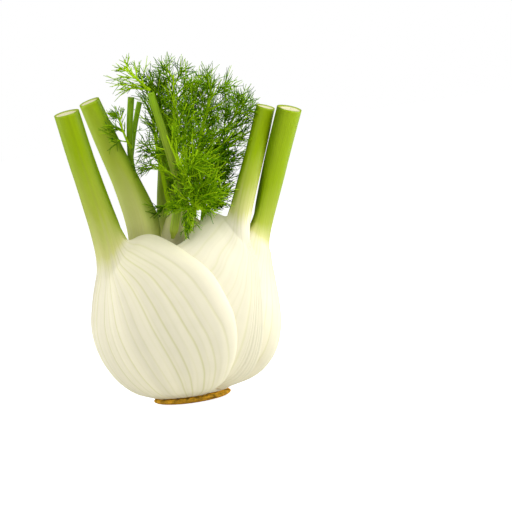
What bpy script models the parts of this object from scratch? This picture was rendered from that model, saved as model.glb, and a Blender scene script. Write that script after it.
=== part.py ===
"""A whole fennel bulb with cut stalks and young feathery leaves, standing on its root plate.

Lengths are in millimetres in the tables below and in metres (times MM) in the model. X is to the right,
Y away from the front, Z up, and the origin is the middle of the flat spot under the root plate.
"""

import math

import bpy
import numpy as np
from mathutils import Vector
from mathutils.bvhtree import BVHTree

MM = 0.001

# The bulb's outline from the root plate to the crown, at equal steps of rise:
# height, reach to the left, reach to the right, half depth.
BULB_STATIONS = np.array(
    [
        (4.0, 19.6, 20.0, 16.0),
        (8.5, 30.0, 36.0, 24.0),
        (17.0, 38.5, 47.5, 31.0),
        (29.5, 44.8, 55.0, 36.0),
        (43.5, 47.0, 58.5, 38.0),
        (57.5, 44.8, 59.0, 37.0),
        (70.0, 41.0, 57.5, 34.0),
        (80.0, 37.2, 52.5, 29.0),
        (88.0, 28.0, 46.0, 23.0),
        (96.0, 19.0, 38.5, 15.0),
        (102.0, 3.0, 27.0, 5.0),
    ]
)
TOP_RISE = 0.985  # above this the crown is too flat to have a clear direction

# Leaf bases lie in bands, one under the other, with the heart under the last one.
BAND = 3.0
BAND_GAP = 0.9
BAND_STEP = BAND + BAND_GAP
MARGIN_THICKNESS = 0.9
GAP = 0.35

STEPS_ACROSS = 13  # points on each face of a leaf base, from margin to margin
STEPS_ALONG = 21  # rings from the root plate to the cut end
HIDDEN_STEPS_ACROSS = 10  # for the leaves whose bases lie deep inside
NECK = 0.68  # where a leaf base ends and its stalk begins, as a share of the leaf
STALK_STARTS = NECK - 0.14

# Each leaf base has its band, counted inwards, and three lines from the root plate to the neck: both
# margins and the midrib, as (rise, azimuth in degrees) at equal steps. Azimuth -90 faces the front.
# Each stalk has its middle line up to the cut end, its half width and half thickness along that line,
# and the azimuth that its rounded back faces.
LEAVES = {
    "leaf_left_outer": dict(
        band=0,
        start=[(0, -250), (0.12, -254), (0.25, -256), (0.38, -252), (0.50, -244), (0.60, -234), (0.68, -222),
               (0.75, -210), (0.79, -200)],
        midrib=[(0, -150), (0.12, -150), (0.25, -150), (0.38, -150), (0.50, -150), (0.61, -151),
                (0.71, -153)],
        end=[(0, -61), (0.17, -63), (0.29, -62), (0.40, -64), (0.47, -68), (0.58, -76), (0.68, -86),
             (0.77, -99), (0.83, -115), (0.85, -129), (0.835, -139), (0.775, -138)],
        stalk=[(-28.6, -11, 66), (-30.0, -12.3, 80), (-33.2, -11.5, 104), (-38.2, -12, 130), (-42.6, -13, 157)],
        half=[(12.5, 9.0), (11.5, 9.0), (8.0, 7.1), (7.3, 6.6), (7.1, 6.3)],
        out=-125,
    ),
    "leaf_right_front": dict(
        band=1,
        bare=(-60, 0),
        start=[(0, -190), (0.15, -196), (0.30, -194), (0.44, -182), (0.58, -160), (0.71, -128), (0.80, -95),
               (0.90, -80), (0.98, -60), (0.985, -48), (0.93, -46), (0.84, -52)],
        midrib=[(0, -60), (0.15, -58), (0.30, -54), (0.45, -50), (0.58, -47), (0.70, -44), (0.80, -41)],
        end=[(0, -38), (0.12, -38), (0.24, -40), (0.38, -41), (0.52, -41), (0.60, -40), (0.667, -40),
             (0.733, -37), (0.79, -28)],
        stalk=[(32.5, -12, 73), (35.5, -10.5, 87), (41.8, -6.5, 104), (50, -2, 124), (58.5, 2, 145.5)],
        half=[(7.0, 4.6), (6.5, 5.2), (5.8, 5.2), (5.3, 4.9), (5.1, 4.8)],
        out=-60,
    ),
    "leaf_right_back": dict(
        band=2,
        bare=(-38, 102),
        start=[(0, -110), (0.20, -110), (0.40, -102), (0.55, -84), (0.66, -60), (0.74, -40), (0.79, -25)],
        midrib=[(0, 5), (0.20, 3), (0.40, 2), (0.55, 0), (0.65, 0), (0.73, 0)],
        end=[(0, 120), (0.20, 126), (0.40, 126), (0.52, 112), (0.62, 88), (0.70, 62), (0.77, 38), (0.80, 24)],
        stalk=[(44.5, 3, 62), (46.6, 4, 77), (54.0, 3, 102), (61.8, 0, 123), (70.2, -4, 144)],
        half=[(9.0, 6.0), (7.8, 6.0), (6.8, 5.9), (7.2, 6.3), (7.4, 6.5)],
        out=-40,
    ),
    "leaf_left_inner": dict(
        band=3,
        start=[(0, -290), (0.20, -295), (0.40, -290), (0.56, -275), (0.68, -250), (0.77, -225), (0.82, -205)],
        midrib=[(0, -165), (0.20, -165), (0.40, -165), (0.56, -162), (0.70, -158), (0.80, -150)],
        end=[(0, -60), (0.20, -60), (0.40, -66), (0.56, -78), (0.68, -95), (0.77, -112), (0.83, -130)],
        stalk=[(-8.5, 3, 62), (-8.8, 3, 79), (-14.1, 4, 104), (-23.5, 5, 134), (-31.5, 6, 161)],
        half=[(11.0, 7.4), (11.3, 7.6), (8.5, 7.1), (6.9, 6.2), (6.0, 5.4)],
        out=-130,
    ),
    "leaf_back": dict(
        band=4,
        start=[(0, -30), (0.20, -30), (0.40, -20), (0.56, 10), (0.68, 44), (0.80, 76)],
        midrib=[(0, 85), (0.20, 86), (0.40, 88), (0.56, 92), (0.70, 98), (0.80, 104)],
        end=[(0, 210), (0.20, 210), (0.40, 200), (0.56, 178), (0.68, 150), (0.80, 122)],
        stalk=[(1, 12.5, 70), (-1, 14, 84), (0.8, 15, 104), (4.5, 15, 126), (8, 15, 150)],
        half=[(7.0, 4.5), (6.2, 5.0), (5.6, 5.0), (5.3, 4.8), (5.0, 4.6)],
        out=80,
    ),
}

# The heart narrows to the tip of its youngest leaf: middle in X and Y, height, half width, half depth.
HEART_BAND = 5
HEART_TIP = [
    (11, -1, 75, 17, 9.5), (10, -2, 81, 16.5, 9.5), (9, -3, 87, 13.5, 8.5),
    (7.2, -4, 93, 9.3, 6.6), (5.8, -4.5, 99, 4.8, 3.9), (5.4, -4.8, 103, 1.6, 1.4),
]
HEART_SIDES = 24

# Root plate: half width, half depth and height of each ring, from the flat spot underneath to the top.
PLATE_RINGS = [(13.6, 10.8, 0.0), (17.8, 14.4, 0.8), (20.2, 16.5, 2.3), (19.4, 15.8, 3.5)]
PLATE_SIDES = 36

# Young leaves that were cut short, one or two stems each: middle line, then radius at the foot and the cut.
YOUNG_STALKS = {
    "young_stalk_tall": [
        dict(line=[(13, -12.5, 95), (8.6, -11, 117), (4.9, -9.5, 139), (1.2, -8, 161.5)], radius=(2.6, 1.8)),
    ],
    "young_stalk_short": [
        dict(line=[(1.8, -14, 86), (4.0, -14.2, 93), (7.0, -14.8, 103)], radius=(2.3, 2.2)),
    ],
    "side_shoot": [
        dict(line=[(-9.8, 13.6, 93), (-11.6, 13, 108), (-14.6, 9, 125), (-13, 4, 143), (-9.6, 1, 160.5)],
             radius=(1.3, 1.7)),
        dict(line=[(-14.3, 8.6, 126), (-12.4, 8, 137), (-9.2, 7, 148), (-5.8, 6, 157.5)],
             radius=(1.2, 1.4)),
    ],
}
YOUNG_SIDES = 8

# Each frond: its middle line from the heart up, its hanging leaflets as (place on the stem, azimuth, lift,
# length), the share that is bare, its pairs of leaflets, the length of the lowest one, the azimuth that its
# flat side faces, its foot radius and its seed.
FRONDS = {
    "frond_far_left": dict(
        line=[(1.1, -8, 162.7), (-2, -8.2, 166), (-6, -8.8, 171), (-10.5, -9.5, 176.5)],
        hanging=[(0.02, 176, 0.32, 18)],
        bare=0.2, pairs=3, reach=12, faces=-80, radius=0.9, seed=11,
    ),
    "frond_left": dict(
        line=[(2.2, 1.6, 98), (0.5, 1, 125), (0, -1, 147), (4, -3, 165)],
        hanging=[(0.02, -172, -0.3, 9), (0.05, -140, 0.0, 8), (0.32, -178, 0.15, 12), (0.42, -160, 0.3, 12)],
        bare=0.34, pairs=5, reach=22, faces=-100, radius=1.4, seed=12,
    ),
    "frond_middle": dict(
        line=[(7.2, 0.6, 100), (9, -5, 127), (11.5, -9, 150), (14, -9, 169)],
        hanging=[(0.2, -100, 0.2, 14), (0.33, -130, 0.4, 16), (0.42, -60, 0.3, 16)],
        bare=0.2, pairs=5, reach=26, faces=-90, radius=1.5, seed=13,
    ),
    "frond_right": dict(
        line=[(13.6, 2.2, 94.5), (19, 0, 121), (26, -3, 143), (34, -6, 160)],
        hanging=[(0.25, -60, 0.3, 14)],
        bare=0.22, pairs=5, reach=25, faces=-70, radius=1.5, seed=14,
    ),
    "frond_far_right": dict(
        line=[(17.5, 4.4, 90), (24, 6, 115), (34, 6, 134), (48, 4, 149)],
        hanging=[],
        bare=0.28, pairs=4, reach=23, faces=-60, radius=1.4, seed=15,
    ),
    "frond_front": dict(
        line=[(19.5, -10.6, 98.2), (13, -15.5, 108), (10.5, -18.8, 123), (6.5, -19.4, 139)],
        hanging=[(0.12, -30, 0.5, 15), (0.2, -60, 0.9, 17), (0.55, -30, 0.5, 16)],
        bare=0.16, pairs=4, reach=21, faces=-90, radius=1.3, seed=16,
    ),
    "frond_low": dict(
        line=[(17, -14.8, 99), (15.5, -18, 102.5), (12.5, -20.5, 100), (8.5, -22.5, 92)],
        hanging=[(0.25, -60, 0.6, 12), (0.6, -165, 0.3, 12)],
        bare=0.15, pairs=2, reach=12, faces=-90, radius=0.9, seed=17,
    ),
    "frond_low_right": dict(
        line=[(19, 2.6, 92), (24, 2, 104), (29, 1, 115.5), (33, 0, 127)],
        hanging=[(0.1, -30, 0.3, 9)],
        bare=0.12, pairs=3, reach=15, faces=-80, radius=1.0, seed=18,
    ),
    "frond_rear": dict(
        line=[(9.5, 4.8, 93.5), (13, 12, 119), (19, 16, 143), (25, 17, 164)],
        hanging=[],
        bare=0.25, pairs=3, reach=23, faces=-90, radius=1.3, seed=19,
    ),
    "frond_side_shoot": dict(
        line=[(-13.4, 3.2, 134.5), (-14.8, -2, 139), (-16.3, -5.5, 146), (-17, -7, 154)],
        hanging=[],
        bare=0.12, pairs=3, reach=12, faces=-95, radius=0.8, seed=20,
    ),
}
NEEDLE_PAIRS = 2  # on each leaflet
HANGING_BEND = np.array([0.0, 0.0, -0.35])
NEEDLE_RADIUS = (0.42, 0.31)
CLEARANCE = 0.45


def spline(rows, at):
    """A Catmull-Rom curve through equally spaced rows, read at 0 to 1."""
    rows = np.asarray(rows, float)
    place = np.clip(at, 0.0, 1.0) * (len(rows) - 1)
    first = np.clip(place.astype(int), 0, len(rows) - 2)
    part = (place - first)[..., None]
    ends = np.concatenate([[2 * rows[0] - rows[1]], rows, [2 * rows[-1] - rows[-2]]])
    a, b, c, d = (ends[first + i] for i in range(4))
    return b + 0.5 * part * (c - a + part * (2 * a - 5 * b + 4 * c - d + part * (3 * (b - c) + d - a)))


def smooth_step(low, high, at):
    part = np.clip((at - low) / (high - low), 0.0, 1.0)
    return part * part * (3 - 2 * part)


def unit(vectors):
    return vectors / np.linalg.norm(vectors, axis=-1, keepdims=True)


def direction(azimuth, lift=0.0):
    """A level direction at this azimuth in degrees, lifted a little."""
    return np.array([math.cos(math.radians(azimuth)), math.sin(math.radians(azimuth)), lift])


def outline_point(azimuth, rise):
    """A point on the bulb's outline: an ellipse round each height."""
    height, left, right, half_depth = np.moveaxis(spline(BULB_STATIONS, rise), -1, 0)
    middle, half_width = (right - left) / 2, (right + left) / 2
    x = middle + half_width * np.cos(azimuth)
    return np.stack([x, half_depth * np.sin(azimuth), height], axis=-1)


def bulb_point(azimuth, rise, depth):
    """A point this deep under the outline, measured square to it."""
    azimuth, rise, depth = np.broadcast_arrays(azimuth, rise, depth)
    rise = np.clip(rise, 0.0, TOP_RISE)
    step = 1e-3
    around = outline_point(azimuth + step, rise) - outline_point(azimuth - step, rise)
    up = outline_point(azimuth, rise + step) - outline_point(azimuth, rise - step)
    return outline_point(azimuth, rise) - depth[..., None] * unit(np.cross(around, up))


def base_lift(leaf, rise, azimuth):
    """How far a leaf base that nothing covers swells out, by the root plate and at its neck, as a share of
    its band's depth."""
    first, last = np.radians(leaf.get("bare", (0, 0)))
    ramp = math.radians(24)
    bare = smooth_step(first, first + ramp, azimuth) * (1 - smooth_step(last - ramp, last, azimuth))
    return bare * (0.9 - 0.9 * smooth_step(0.06, 0.5, rise) + 0.6 * smooth_step(0.55, 0.74, rise))


def sheath_rings(leaf, along, across):
    """The leaf base: out along its outer face from margin to margin, and back along its inner face."""
    to_neck = np.clip(along[:, 0] / NECK, 0, 1)
    start, midrib, end = (spline(leaf[line], to_neck)[:, None] for line in ("start", "midrib", "end"))
    side = np.abs(across)[..., None]
    margin = np.where(across[..., None] < 0, start, end)
    place = midrib + (margin - midrib) * np.concatenate([side**2, side], axis=-1)
    rise, azimuth = place[..., 0], np.radians(place[..., 1])
    band = leaf["band"] * BAND_STEP * (1 - base_lift(leaf, rise, azimuth))
    thinned = (BAND - MARGIN_THICKNESS) * smooth_step(0.6, 1.0, np.abs(across))
    outer = bulb_point(azimuth, rise, band + thinned)
    inner = bulb_point(azimuth, rise, band + BAND)
    return np.concatenate([outer, inner[:, ::-1]], axis=1)


def stalk_rings(leaf, along, across):
    """The stalk: a rounded back on the same side as the outer face, and a flatter inner side."""
    far = np.clip((along[:, 0] - STALK_STARTS) / (1 - STALK_STARTS), 0, 1)
    middle, half = spline(leaf["stalk"], far), spline(leaf["half"], far)
    ahead = unit(np.gradient(middle, axis=0) + 1e-9)
    ahead = unit(ahead + (far[:, None] == 0) * (spline(leaf["stalk"], np.array([0.05])) - middle))
    facing = direction(leaf["out"])
    back = unit(facing - ahead * (ahead @ facing)[:, None])
    beside = np.cross(ahead, back)
    quarter = 0.47 * math.pi
    turn = np.concatenate([across[0] * quarter, math.pi + across[0] * quarter])
    reach = np.where(np.cos(turn) > 0, 1.0, 0.78) * np.cos(turn)
    sideways = beside[:, None] * (half[:, :1] * np.sin(turn))[..., None]
    return middle[:, None] + sideways + back[:, None] * (half[:, 1:] * reach)[..., None]


def leaf_rings(leaf, steps_across, steps_along):
    """The closed rings of a leaf: its clasping base, closing in at the neck to its stalk."""
    along = np.linspace(0, 1, steps_along)[:, None]
    across = np.linspace(-1, 1, steps_across)[None, :]
    side = np.abs(np.concatenate([across, across[:, ::-1]], axis=1))
    mix = smooth_step(STALK_STARTS + 0.13 * side, NECK + 0.07, along)[..., None]
    sheath, stalk = sheath_rings(leaf, along, across), stalk_rings(leaf, along, across)
    return sheath * (1 - mix) + stalk * mix


def mesh_object(name, points, faces, material=None):
    mesh = bpy.data.meshes.new(name)
    mesh.from_pydata((np.asarray(points) * MM).tolist(), [], faces)
    mesh.update()
    obj = bpy.data.objects.new(name, mesh)
    bpy.context.scene.collection.objects.link(obj)
    if material:
        mesh.materials.append(material)
    return obj


def ring_faces(count, size):
    return [
        (ring + i, ring + (i + 1) % size, ring + size + (i + 1) % size, ring + size + i)
        for ring in range(0, (count - 1) * size, size)
        for i in range(size)
    ]


def two_faced_ends(count, size):
    """The end faces of a leaf: narrow strips between its outer and inner face."""
    top = (count - 1) * size
    strips = [(i, i + 1, size - 2 - i, size - 1 - i) for i in range(size // 2 - 1)]
    return [strip[::-1] for strip in strips] + [tuple(top + i for i in strip) for strip in strips]


def leaf_solid(name, leaf, material):
    rings = leaf_rings(leaf, STEPS_ACROSS if leaf["band"] < 3 else HIDDEN_STEPS_ACROSS, STEPS_ALONG)
    count, size = rings.shape[:2]
    faces = ring_faces(count, size) + two_faced_ends(count, size)
    return mesh_object(name, rings.reshape(-1, 3), faces, material)


def round_solid(name, rings, material):
    """A closed solid through rings of points, with one flat face at each end."""
    count, size = rings.shape[:2]
    ends = [tuple(range(size))[::-1], tuple(range((count - 1) * size, count * size))]
    return mesh_object(name, rings.reshape(-1, 3), ring_faces(count, size) + ends, material)


def heart_solid(material):
    azimuth = np.linspace(0, 2 * math.pi, HEART_SIDES, endpoint=False)
    depth = HEART_BAND * BAND_STEP
    core = [bulb_point(azimuth, np.array(0.0), np.array(d)) for d in np.linspace(0, depth, 5)]
    for ring in core:
        ring[:, :2] *= 0.965
        ring[:, 2] += 0.35
    body = [bulb_point(azimuth, np.array(rise), np.array(depth)) for rise in np.linspace(0.06, 0.62, 8)]
    tip = [
        np.stack([x + a * np.cos(azimuth), y + b * np.sin(azimuth), np.full_like(azimuth, z)], axis=-1)
        for x, y, z, a, b in HEART_TIP
    ]
    return round_solid("heart", np.array(core + body + tip), material)


def plate_solid(material):
    azimuth = np.linspace(0, 2 * math.pi, PLATE_SIDES, endpoint=False)
    rings = [
        np.stack([a * np.cos(azimuth), b * np.sin(azimuth), np.full_like(azimuth, z)], axis=-1)
        for a, b, z in PLATE_RINGS
    ]
    return round_solid("root_plate", np.array(rings), material)


def tube(name, line, radii, sides, material=None):
    """A closed round stem through the points of its middle line."""
    line = np.asarray(line, float)
    ahead = unit(np.gradient(line, axis=0))
    across = unit(np.cross(ahead, np.array([0.31, 0.87, 0.38])))
    over = np.cross(ahead, across)
    turn = np.linspace(0, 2 * math.pi, sides, endpoint=False)[None, :, None]
    round_line = across[:, None] * np.cos(turn) + over[:, None] * np.sin(turn)
    return round_solid(name, line[:, None] + np.asarray(radii)[:, None, None] * round_line, material)


def young_stalk(name, stems, material):
    helpers = helper_collection(name)
    made = []
    for index, stem in enumerate(stems):
        at = np.linspace(0, 1, 7)
        radii = stem["radius"][0] + (stem["radius"][1] - stem["radius"][0]) * at
        made.append(tube(f"{name}_{index}", spline(stem["line"], at), radii, YOUNG_SIDES, material))
        if index:
            move_to(made[index], helpers)
    made[0].name = name
    fuse(made[0], helpers)
    return made[0]


def frond_twigs(frond):
    """The stem, leaflets and needles of a frond as (points, radii, sides), each rooted in the one before."""
    random = np.random.default_rng(frond["seed"])
    at = np.linspace(0, 1, 7)
    radii = frond["radius"] + (0.45 - frond["radius"]) * at
    twigs = [dict(points=spline(frond["line"], at), radii=radii, sides=4, parent=None)]
    facing = direction(frond["faces"], 0.15)
    for pair in range(frond["pairs"]):
        share = (pair + 0.5) / frond["pairs"]
        place = frond["bare"] + (0.97 - frond["bare"]) * share
        foot = spline(frond["line"], np.array([place, place + 0.02]))
        ahead = unit(foot[1] - foot[0])
        for side in (-1, 1):
            aside = unit(np.cross(facing, ahead)) * side
            tilt = random.uniform(-0.9, 0.9)
            spread = math.radians(random.uniform(44, 60) - 18 * share)
            out = unit(aside * math.cos(tilt) + unit(facing) * math.sin(tilt))
            towards = ahead * math.cos(spread) + out * math.sin(spread)
            length = frond["reach"] * (1 - 0.62 * share) * random.uniform(0.85, 1.12)
            bend = ahead * 0.3 + facing * random.uniform(-0.15, 0.2) + (0, 0, random.uniform(-0.2, 0.1))
            add_leaflet(twigs, random, foot[0], towards, bend, length, facing + 0.2 * aside, NEEDLE_PAIRS)
    for place, azimuth, lift, length in frond["hanging"]:
        foot = spline(frond["line"], np.array([place]))[0]
        towards = unit(direction(azimuth, lift))
        add_leaflet(twigs, random, foot, towards, HANGING_BEND, length, facing, 1)
    return twigs


def add_leaflet(twigs, random, foot, towards, bend, length, flat, pairs):
    """A leaflet, foot + length (towards t + bend t^2 / 2), and pairs of needles along it."""
    leaflet_at = len(twigs)
    t = np.linspace(0, 1, 3)[:, None]
    leaflet = foot + length * (towards * t + 0.5 * bend * t**2)
    twigs.append(dict(points=leaflet, radii=np.linspace(0.52, 0.33, 3), sides=3, parent=0))
    for rank in range(pairs):
        along = (rank + 0.8) / (pairs + 0.4)
        start = foot + length * (towards * along + 0.5 * bend * along**2)
        forward = unit(towards + bend * along)
        beside = unit(np.cross(forward, flat))
        for hand in (-1, 1):
            roll = random.uniform(0, 2 * math.pi)
            lean = unit(beside * hand * math.cos(0.35 * roll) + np.cross(forward, beside) * math.sin(roll))
            heading = unit(forward * 0.78 + lean * 0.62)
            reach = length * (0.42 - 0.22 * along) * random.uniform(0.8, 1.2) + 2.0
            curve = 0.12 * reach * unit(forward + random.uniform(-0.6, 0.6, 3))
            needle = np.stack([start, start + heading * reach + curve])
            twigs.append(dict(points=needle, radii=NEEDLE_RADIUS, sides=3, parent=leaflet_at))


def samples(twig):
    """Points about 0.7 mm apart along a twig, with the radius at each."""
    points, radii = twig["points"], twig["radii"]
    length = np.linalg.norm(np.diff(points, axis=0), axis=1).sum()
    at = np.linspace(0, 1, max(3, int(length / 0.7)))
    knots = np.linspace(0, 1, len(points))
    places = np.stack([np.interp(at, knots, points[:, axis]) for axis in range(3)], axis=1)
    return places, np.interp(at, knots, radii)


def clear_of(twig, trees, others):
    """True where a twig keeps its clearance from the leaves and from the other fronds."""
    places, radii = samples(twig)
    for place, radius in zip(places, radii):
        for tree in trees:
            found, normal, _, distance = tree.find_nearest(Vector(place * MM))
            inside = (Vector(place * MM) - found).dot(normal) < 0
            if inside or distance < (radius + CLEARANCE) * MM:
                return False
    apart = np.linalg.norm(places[:, None] - others[0][None], axis=2)
    return not (apart < radii[:, None] + others[1][None] + CLEARANCE + 0.1).any()


def frond_solid(name, frond, trees, others, material):
    """One frond: its twigs fused, less those that would cross a leaf or another frond."""
    kept = []
    lost = set()
    for index, twig in enumerate(frond_twigs(frond)):
        crosses = index > 0 and not clear_of(twig, trees, others)
        if crosses or twig["parent"] in lost:
            lost.add(index)
        else:
            kept.append(twig)
    helpers = helper_collection(name)
    for index, twig in enumerate(kept[1:]):
        piece = tube(f"{name}_twig_{index}", twig["points"], twig["radii"], twig["sides"])
        move_to(piece, helpers)
    stem = tube(name, kept[0]["points"], kept[0]["radii"], kept[0]["sides"], material)
    fuse(stem, helpers)
    return [samples(twig) for twig in kept]


def make_fronds(trees):
    """Makes the fronds one after another. Every stem is in its place before the first leaflet."""
    taken = {name: [samples(frond_twigs(frond)[0])] for name, frond in FRONDS.items()}
    for name, frond in FRONDS.items():
        around = [pair for other, pairs in taken.items() if other != name for pair in pairs]
        others = tuple(np.concatenate(part) for part in zip(*around))
        material = principled(name + "_green", (0.12, 0.24, 0.01), 0.5)
        taken[name] = frond_solid(name, frond, trees, others, material)


def helper_collection(name):
    helpers = bpy.data.collections.new(name + "_pieces")
    bpy.context.scene.collection.children.link(helpers)
    return helpers


def move_to(obj, helpers):
    bpy.context.scene.collection.objects.unlink(obj)
    helpers.objects.link(obj)


def fuse(obj, helpers):
    """Unites everything in the collection with the object, and removes the collection's objects."""
    if not helpers.objects:
        return
    union = obj.modifiers.new("fuse", "BOOLEAN")
    union.operation = "UNION"
    union.operand_type = "COLLECTION"
    union.collection = helpers
    union.solver = "MANIFOLD"
    apply_modifiers(obj)
    for piece in list(helpers.objects):
        bpy.data.objects.remove(piece, do_unlink=True)
    bpy.data.collections.remove(helpers)


def apply_modifiers(obj):
    evaluated = obj.evaluated_get(bpy.context.evaluated_depsgraph_get())
    mesh = bpy.data.meshes.new_from_object(evaluated)
    obj.modifiers.clear()
    obj.data = mesh


def tree_of(obj):
    graph = bpy.context.evaluated_depsgraph_get()
    return BVHTree.FromObject(obj.evaluated_get(graph), graph)


def keep_clear(obj, others):
    """Cuts back a solid by its neighbours, each grown by the gap."""
    for other in others:
        cutter = other.copy()
        cutter.data = other.data.copy()
        cutter.name = f"{obj.name}_clear_{other.name}"
        bpy.context.scene.collection.objects.link(cutter)
        for vertex in cutter.data.vertices:
            vertex.co += vertex.normal * GAP * MM
        cutter.hide_render = True
        cutter.display_type = "WIRE"
        cut = obj.modifiers.new("gap_to_" + other.name, "BOOLEAN")
        cut.operation = "DIFFERENCE"
        cut.object = cutter
        cut.solver = "EXACT"
    apply_modifiers(obj)
    for other in others:
        bpy.data.objects.remove(bpy.data.objects[f"{obj.name}_clear_{other.name}"], do_unlink=True)


def principled(name, colour, roughness):
    material = bpy.data.materials.new(name)
    material.use_nodes = True
    shader = material.node_tree.nodes["Principled BSDF"]
    shader.inputs["Base Color"].default_value = (*colour, 1.0)
    shader.inputs["Roughness"].default_value = roughness
    shader.inputs["Metallic"].default_value = 0.0
    return material


def leaf_material(name):
    return principled(name + "_skin", (0.72, 0.72, 0.40), 0.42)


def clear_scene():
    for obj in list(bpy.data.objects):
        bpy.data.objects.remove(obj, do_unlink=True)


def main():
    clear_scene()
    plate_solid(principled("cork", (0.37, 0.21, 0.04), 0.85))
    leaves = [leaf_solid(name, leaf, leaf_material(name)) for name, leaf in LEAVES.items()]
    heart = heart_solid(principled("heart_skin", (0.75, 0.78, 0.42), 0.45))
    keep_clear(heart, leaves[-2:])
    stalks = [
        young_stalk(name, young, principled(name + "_skin", (0.30, 0.42, 0.03), 0.45))
        for name, young in YOUNG_STALKS.items()
    ]
    make_fronds([tree_of(obj) for obj in leaves + [heart] + stalks])


if __name__ == "__main__":
    main()
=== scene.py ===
"""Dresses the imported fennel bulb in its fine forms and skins, and sets it on a pale stage.

Lengths in the tables are in millimetres, in the row frame: X right, Y away from the front, Z up.
"""

import math

import bpy
import numpy as np
from bpy.props import FloatProperty, FloatVectorProperty, IntProperty, PointerProperty
from mathutils import Matrix, Vector


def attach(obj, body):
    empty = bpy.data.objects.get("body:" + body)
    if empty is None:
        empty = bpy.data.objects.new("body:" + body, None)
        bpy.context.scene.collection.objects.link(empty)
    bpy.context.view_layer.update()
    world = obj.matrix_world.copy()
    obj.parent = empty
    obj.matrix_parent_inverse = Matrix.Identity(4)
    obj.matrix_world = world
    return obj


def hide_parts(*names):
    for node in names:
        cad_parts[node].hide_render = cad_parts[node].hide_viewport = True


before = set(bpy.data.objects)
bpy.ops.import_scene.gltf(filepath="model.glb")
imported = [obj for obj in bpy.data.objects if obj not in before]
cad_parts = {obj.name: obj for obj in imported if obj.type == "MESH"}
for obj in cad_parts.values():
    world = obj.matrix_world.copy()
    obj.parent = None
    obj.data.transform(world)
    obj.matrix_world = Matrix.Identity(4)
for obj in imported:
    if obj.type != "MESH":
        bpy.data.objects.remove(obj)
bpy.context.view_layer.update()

bl_info = {
    "name": "Fennel bulb",
    "version": (1, 0, 0),
    "blender": (4, 5, 0),
    "location": "3D View > Sidebar > Fennel",
    "description": "Builds a whole fennel bulb with cut stalks and feathery fronds",
    "category": "Add Mesh",
}

MM = 0.001

# The bulb's outline at equal steps of rise: height, reach to the left, reach to the right, half depth.
BULB_STATIONS = np.array(
    [
        (4.0, 19.6, 20.0, 16.0),
        (8.5, 30.0, 36.0, 24.0),
        (17.0, 38.5, 47.5, 31.0),
        (29.5, 44.8, 55.0, 36.0),
        (43.5, 47.0, 58.5, 38.0),
        (57.5, 44.8, 59.0, 37.0),
        (70.0, 41.0, 57.5, 34.0),
        (80.0, 37.2, 52.5, 29.0),
        (88.0, 28.0, 46.0, 23.0),
        (96.0, 19.0, 38.5, 15.0),
        (102.0, 3.0, 27.0, 5.0),
    ]
)
TOP_RISE = 0.985
BAND_STEP = 3.9  # from the outer face of one leaf base to the outer face of the next
MARGIN_THICKNESS = 0.5
NECK = 0.68  # how far along a leaf its base ends
STALK_STARTS = NECK - 0.14
NECK_BELL = 0.07  # reach along the leaf of the bell curve that smooths the neck
CUT_SLOPE = 0.19  # how much lower a stalk is cut at its front, by its depth
MARGIN_ROUNDS = 0.86  # how far across a leaf base its outer face starts to round down to the margin
INNER_FLATNESS = 0.78  # the thickness of a stalk's inner half, by that of its outer half
OFF_AXIS = np.array([0.31, 0.87, 0.38])  # a direction that no stem or twig takes

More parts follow.
